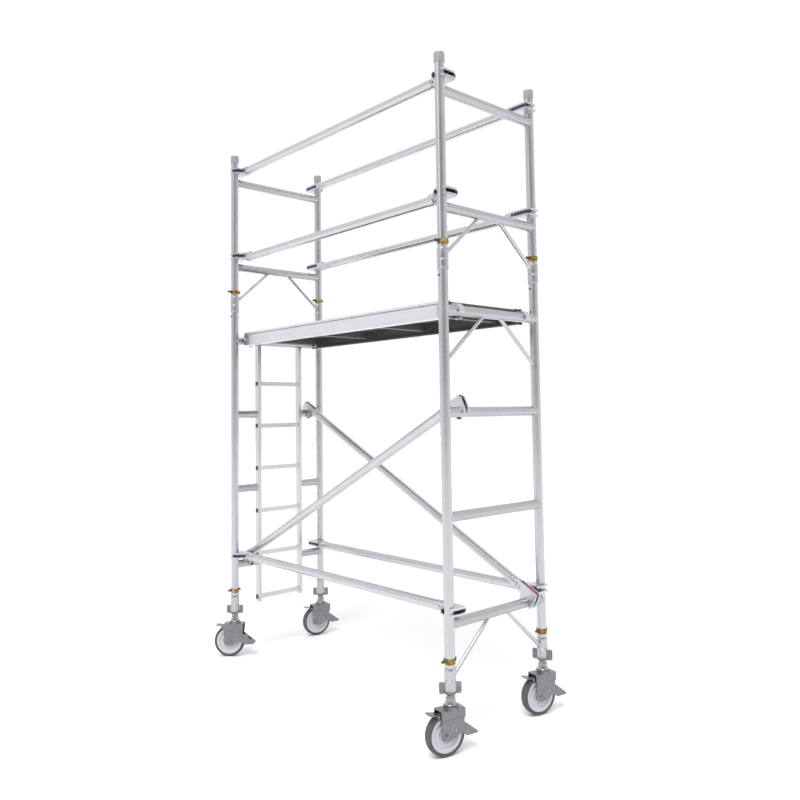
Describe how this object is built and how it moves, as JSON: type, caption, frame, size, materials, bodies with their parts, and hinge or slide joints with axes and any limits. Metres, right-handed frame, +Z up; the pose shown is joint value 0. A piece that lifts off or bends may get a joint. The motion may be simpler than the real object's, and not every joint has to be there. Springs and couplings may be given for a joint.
{
  "type": "mobile scaffold tower",
  "caption": "Mobile aluminium scaffold tower with end frames, hooked braces, hatch platform, guard rails and braked castors on adjustable legs.",
  "frame": {"origin": "on the floor, at the plan centre of the four posts", "axes": "+X along the platform from the ladder frame to the plain frame, +Y across the tower to the back, +Z up"},
  "size_m": [2.1758, 0.9688, 3.375],
  "materials": {
    "tube_aluminium": "satin extruded, light grey",
    "sleeve_aluminium": "satin, swaged sleeve",
    "rung_aluminium": "satin, fluted lengthwise",
    "ladder_aluminium": "satin extruded",
    "brace_aluminium": "bright satin",
    "cast_aluminium": "as cast, slightly grainy",
    "beam_aluminium": "satin extruded",
    "cross_aluminium": "mill finish",
    "cap_plastic": "grey moulded",
    "black_plastic": "black moulded",
    "navy_plastic": "navy, glossy",
    "crimson_plastic": "crimson, glossy",
    "gold_zinc": "gold passivated zinc plate",
    "zinc_steel": "bright zinc plate",
    "leg_zinc": "bright zinc plate",
    "nut_zinc": "zinc plated casting",
    "castor_zinc": "blue-grey zinc plate",
    "hub_nylon": "white nylon",
    "tyre_grey": "dark grey rubber",
    "deck_dark": "film-faced plywood, dark"
  },
  "bodies": {
    "frame": {"frame_posts": "tube_aluminium", "post_sleeves": "sleeve_aluminium", "frame_rungs": "rung_aluminium", "knee_braces": "tube_aluminium", "ladder_stiles": "ladder_aluminium", "ladder_rungs": "ladder_aluminium", "ladder_rung_plugs": "black_plastic", "post_caps": "cap_plastic", "interlock_clips": "gold_zinc", "interlock_knobs": "black_plastic", "brace_tubes": "brace_aluminium", "brace_claws": "cast_aluminium"},
    "platform": {"platform_side_beams": "beam_aluminium", "platform_cross_beams": "cross_aluminium", "deck_board": "deck_dark", "platform_fittings": "cast_aluminium"},
    "trapdoor": {"trapdoor": "deck_dark", "trapdoor_hinges": "zinc_steel"},
    "wind_lock_right": {"wind_lock_right": "zinc_steel"},
    "wind_lock_left": {"wind_lock_left": "zinc_steel"},
    "leg_right_front": {"leg_stem_right_front": "leg_zinc"},
    "nut_right_front": {"wing_nut_right_front": "nut_zinc"},
    "castor_right_front": {"castor_fork_right_front": "castor_zinc"},
    "wheel_right_front": {"wheel_hub_right_front": "hub_nylon", "tyre_right_front": "tyre_grey"},
    "lever_right_front": {"brake_lever_right_front": "castor_zinc"},
    "leg_right_back": {"leg_stem_right_back": "leg_zinc"},
    "nut_right_back": {"wing_nut_right_back": "nut_zinc"},
    "castor_right_back": {"castor_fork_right_back": "castor_zinc"},
    "wheel_right_back": {"wheel_hub_right_back": "hub_nylon", "tyre_right_back": "tyre_grey"},
    "lever_right_back": {"brake_lever_right_back": "castor_zinc"},
    "leg_left_front": {"leg_stem_left_front": "leg_zinc"},
    "nut_left_front": {"wing_nut_left_front": "nut_zinc"},
    "castor_left_front": {"castor_fork_left_front": "castor_zinc"},
    "wheel_left_front": {"wheel_hub_left_front": "hub_nylon", "tyre_left_front": "tyre_grey"},
    "lever_left_front": {"brake_lever_left_front": "castor_zinc"},
    "leg_left_back": {"leg_stem_left_back": "leg_zinc"},
    "nut_left_back": {"wing_nut_left_back": "nut_zinc"},
    "castor_left_back": {"castor_fork_left_back": "castor_zinc"},
    "wheel_left_back": {"wheel_hub_left_back": "hub_nylon", "tyre_left_back": "tyre_grey"},
    "lever_left_back": {"brake_lever_left_back": "castor_zinc"},
    "pawl_base_front_right": {"pawl_base_front_right": "navy_plastic"},
    "pawl_base_front_left": {"pawl_base_front_left": "navy_plastic"},
    "pawl_base_back_right": {"pawl_base_back_right": "navy_plastic"},
    "pawl_base_back_left": {"pawl_base_back_left": "navy_plastic"},
    "pawl_low_guard_front_right": {"pawl_low_guard_front_right": "navy_plastic"},
    "pawl_low_guard_front_left": {"pawl_low_guard_front_left": "navy_plastic"},
    "pawl_low_guard_back_right": {"pawl_low_guard_back_right": "navy_plastic"},
    "pawl_low_guard_back_left": {"pawl_low_guard_back_left": "navy_plastic"},
    "pawl_top_guard_front_right": {"pawl_top_guard_front_right": "navy_plastic"},
    "pawl_top_guard_front_left": {"pawl_top_guard_front_left": "navy_plastic"},
    "pawl_top_guard_back_right": {"pawl_top_guard_back_right": "navy_plastic"},
    "pawl_top_guard_back_left": {"pawl_top_guard_back_left": "navy_plastic"},
    "pawl_diagonal_front_right": {"pawl_diagonal_front_right": "crimson_plastic"},
    "pawl_diagonal_front_left": {"pawl_diagonal_front_left": "crimson_plastic"},
    "pawl_diagonal_back_right": {"pawl_diagonal_back_right": "crimson_plastic"},
    "pawl_diagonal_back_left": {"pawl_diagonal_back_left": "crimson_plastic"}
  },
  "joints": [
    {"name": "platform_lift", "type": "slide", "parent": "frame", "child": "platform", "axis": [0, 0, 1], "range_m": [0, 0.0045]},
    {"name": "trapdoor_hinge", "type": "hinge", "parent": "platform", "child": "trapdoor", "pos_m": [-0.6175, 0.2305, 2.1495], "axis": [-1, 0, 0], "range_deg": [0, 95]},
    {"name": "wind_lock_right_swing", "type": "hinge", "parent": "platform", "child": "wind_lock_right", "pos_m": [0.965, -0.2349, 2.087], "axis": [0, 1, 0], "range_deg": [0, 60], "stiffness_Nm_per_rad": 0.05, "springref_deg": -28.65},
    {"name": "wind_lock_left_swing", "type": "hinge", "parent": "platform", "child": "wind_lock_left", "pos_m": [-0.965, -0.2349, 2.087], "axis": [0, -1, 0], "range_deg": [0, 60], "stiffness_Nm_per_rad": 0.05, "springref_deg": -28.65},
    {"name": "leg_slide_right_front", "type": "slide", "parent": "frame", "child": "leg_right_front", "axis": [0, 0, -1], "range_m": [0, 0.15]},
    {"name": "nut_turn_right_front", "type": "hinge", "parent": "frame", "child": "nut_right_front", "pos_m": [1, -0.35, 0.28], "axis": [0, 0, 1], "range_deg": [0, 5401]},
    {"name": "castor_swivel_right_front", "type": "hinge", "parent": "leg_right_front", "child": "castor_right_front", "pos_m": [1, -0.35, 0.2], "axis": [0, 0, 1], "continuous": true},
    {"name": "wheel_spin_right_front", "type": "hinge", "parent": "castor_right_front", "child": "wheel_right_front", "pos_m": [0.99177, -0.38299, 0.1], "axis": [-0.9703, 0.2419, 0], "continuous": true},
    {"name": "brake_lever_right_front", "type": "hinge", "parent": "castor_right_front", "child": "lever_right_front", "pos_m": [1.00194, -0.34224, 0.122], "axis": [-0.9703, 0.2419, 0], "range_deg": [0, 8]},
    {"name": "leg_slide_right_back", "type": "slide", "parent": "frame", "child": "leg_right_back", "axis": [0, 0, -1], "range_m": [0, 0.15]},
    {"name": "nut_turn_right_back", "type": "hinge", "parent": "frame", "child": "nut_right_back", "pos_m": [1, 0.35, 0.28], "axis": [0, 0, 1], "range_deg": [0, 5401]},
    {"name": "castor_swivel_right_back", "type": "hinge", "parent": "leg_right_back", "child": "castor_right_back", "pos_m": [1, 0.35, 0.2], "axis": [0, 0, 1], "continuous": true},
    {"name": "wheel_spin_right_back", "type": "hinge", "parent": "castor_right_back", "child": "wheel_right_back", "pos_m": [0.99177, 0.31701, 0.1], "axis": [-0.9703, 0.2419, 0], "continuous": true},
    {"name": "brake_lever_right_back", "type": "hinge", "parent": "castor_right_back", "child": "lever_right_back", "pos_m": [1.00194, 0.35776, 0.122], "axis": [-0.9703, 0.2419, 0], "range_deg": [0, 8]},
    {"name": "leg_slide_left_front", "type": "slide", "parent": "frame", "child": "leg_left_front", "axis": [0, 0, -1], "range_m": [0, 0.15]},
    {"name": "nut_turn_left_front", "type": "hinge", "parent": "frame", "child": "nut_left_front", "pos_m": [-1, -0.35, 0.28], "axis": [0, 0, 1], "range_deg": [0, 5401]},
    {"name": "castor_swivel_left_front", "type": "hinge", "parent": "leg_left_front", "child": "castor_left_front", "pos_m": [-1, -0.35, 0.2], "axis": [0, 0, 1], "continuous": true},
    {"name": "wheel_spin_left_front", "type": "hinge", "parent": "castor_left_front", "child": "wheel_left_front", "pos_m": [-1.02404, -0.37404, 0.1], "axis": [-0.7071, 0.7071, 0], "continuous": true},
    {"name": "brake_lever_left_front", "type": "hinge", "parent": "castor_left_front", "child": "lever_left_front", "pos_m": [-0.99434, -0.34434, 0.122], "axis": [-0.7071, 0.7071, 0], "range_deg": [0, 8]},
    {"name": "leg_slide_left_back", "type": "slide", "parent": "frame", "child": "leg_left_back", "axis": [0, 0, -1], "range_m": [0, 0.15]},
    {"name": "nut_turn_left_back", "type": "hinge", "parent": "frame", "child": "nut_left_back", "pos_m": [-1, 0.35, 0.28], "axis": [0, 0, 1], "range_deg": [0, 5401]},
    {"name": "castor_swivel_left_back", "type": "hinge", "parent": "leg_left_back", "child": "castor_left_back", "pos_m": [-1, 0.35, 0.2], "axis": [0, 0, 1], "continuous": true},
    {"name": "wheel_spin_left_back", "type": "hinge", "parent": "castor_left_back", "child": "wheel_left_back", "pos_m": [-1.00823, 0.31701, 0.1], "axis": [-0.9703, 0.2419, 0], "continuous": true},
    {"name": "brake_lever_left_back", "type": "hinge", "parent": "castor_left_back", "child": "lever_left_back", "pos_m": [-0.99806, 0.35776, 0.122], "axis": [-0.9703, 0.2419, 0], "range_deg": [0, 8]},
    {"name": "pawl_base_front_right_release", "type": "hinge", "parent": "frame", "child": "pawl_base_front_right", "pos_m": [0.94, -0.3, 0.655], "axis": [0, 0, 1], "range_deg": [-15, 0], "stiffness_Nm_per_rad": 0.3, "springref_deg": 22.92},
    {"name": "pawl_base_front_left_release", "type": "hinge", "parent": "frame", "child": "pawl_base_front_left", "pos_m": [-0.94, -0.3, 0.655], "axis": [0, 0, -1], "range_deg": [-15, 0], "stiffness_Nm_per_rad": 0.3, "springref_deg": 22.92},
    {"name": "pawl_base_back_right_release", "type": "hinge", "parent": "frame", "child": "pawl_base_back_right", "pos_m": [0.94, 0.3, 0.655], "axis": [0, 0, -1], "range_deg": [-15, 0], "stiffness_Nm_per_rad": 0.3, "springref_deg": 22.92},
    {"name": "pawl_base_back_left_release", "type": "hinge", "parent": "frame", "child": "pawl_base_back_left", "pos_m": [-0.94, 0.3, 0.655], "axis": [0, 0, 1], "range_deg": [-15, 0], "stiffness_Nm_per_rad": 0.3, "springref_deg": 22.92},
    {"name": "pawl_low_guard_front_right_release", "type": "hinge", "parent": "frame", "child": "pawl_low_guard_front_right", "pos_m": [0.94, -0.3, 2.675], "axis": [0, 0, 1], "range_deg": [-15, 0], "stiffness_Nm_per_rad": 0.3, "springref_deg": 22.92},
    {"name": "pawl_low_guard_front_left_release", "type": "hinge", "parent": "frame", "child": "pawl_low_guard_front_left", "pos_m": [-0.94, -0.3, 2.675], "axis": [0, 0, -1], "range_deg": [-15, 0], "stiffness_Nm_per_rad": 0.3, "springref_deg": 22.92},
    {"name": "pawl_low_guard_back_right_release", "type": "hinge", "parent": "frame", "child": "pawl_low_guard_back_right", "pos_m": [0.94, 0.3, 2.675], "axis": [0, 0, -1], "range_deg": [-15, 0], "stiffness_Nm_per_rad": 0.3, "springref_deg": 22.92},
    {"name": "pawl_low_guard_back_left_release", "type": "hinge", "parent": "frame", "child": "pawl_low_guard_back_left", "pos_m": [-0.94, 0.3, 2.675], "axis": [0, 0, 1], "range_deg": [-15, 0], "stiffness_Nm_per_rad": 0.3, "springref_deg": 22.92},
    {"name": "pawl_top_guard_front_right_release", "type": "hinge", "parent": "frame", "child": "pawl_top_guard_front_right", "pos_m": [0.94, -0.3, 3.265], "axis": [0, 0, 1], "range_deg": [-15, 0], "stiffness_Nm_per_rad": 0.3, "springref_deg": 22.92},
    {"name": "pawl_top_guard_front_left_release", "type": "hinge", "parent": "frame", "child": "pawl_top_guard_front_left", "pos_m": [-0.94, -0.3, 3.265], "axis": [0, 0, -1], "range_deg": [-15, 0], "stiffness_Nm_per_rad": 0.3, "springref_deg": 22.92},
    {"name": "pawl_top_guard_back_right_release", "type": "hinge", "parent": "frame", "child": "pawl_top_guard_back_right", "pos_m": [0.94, 0.3, 3.265], "axis": [0, 0, -1], "range_deg": [-15, 0], "stiffness_Nm_per_rad": 0.3, "springref_deg": 22.92},
    {"name": "pawl_top_guard_back_left_release", "type": "hinge", "parent": "frame", "child": "pawl_top_guard_back_left", "pos_m": [-0.94, 0.3, 3.265], "axis": [0, 0, 1], "range_deg": [-15, 0], "stiffness_Nm_per_rad": 0.3, "springref_deg": 22.92},
    {"name": "pawl_diagonal_front_right_release", "type": "hinge", "parent": "frame", "child": "pawl_diagonal_front_right", "pos_m": [0.92397, -0.24, 1.61289], "axis": [0, -1, 0], "range_deg": [-15, 0], "stiffness_Nm_per_rad": 0.3, "springref_deg": 22.92},
    {"name": "pawl_diagonal_front_left_release", "type": "hinge", "parent": "frame", "child": "pawl_diagonal_front_left", "pos_m": [-0.9687, -0.24, 0.66655], "axis": [0, 1, 0], "range_deg": [-15, 0], "stiffness_Nm_per_rad": 0.3, "springref_deg": 22.92},
    {"name": "pawl_diagonal_back_right_release", "type": "hinge", "parent": "frame", "child": "pawl_diagonal_back_right", "pos_m": [0.9687, 0.24, 0.66655], "axis": [0, -1, 0], "range_deg": [-15, 0], "stiffness_Nm_per_rad": 0.3, "springref_deg": 22.92},
    {"name": "pawl_diagonal_back_left_release", "type": "hinge", "parent": "frame", "child": "pawl_diagonal_back_left", "pos_m": [-0.92397, 0.24, 1.61289], "axis": [0, 1, 0], "range_deg": [-15, 0], "stiffness_Nm_per_rad": 0.3, "springref_deg": 22.92}
  ],
  "couplings": [
    {"joint": "nut_turn_right_front", "follows": "leg_slide_right_front", "rad_per_m": 628.32},
    {"joint": "nut_turn_right_back", "follows": "leg_slide_right_back", "rad_per_m": 628.32},
    {"joint": "nut_turn_left_front", "follows": "leg_slide_left_front", "rad_per_m": 628.32},
    {"joint": "nut_turn_left_back", "follows": "leg_slide_left_back", "rad_per_m": 628.32}
  ]
}
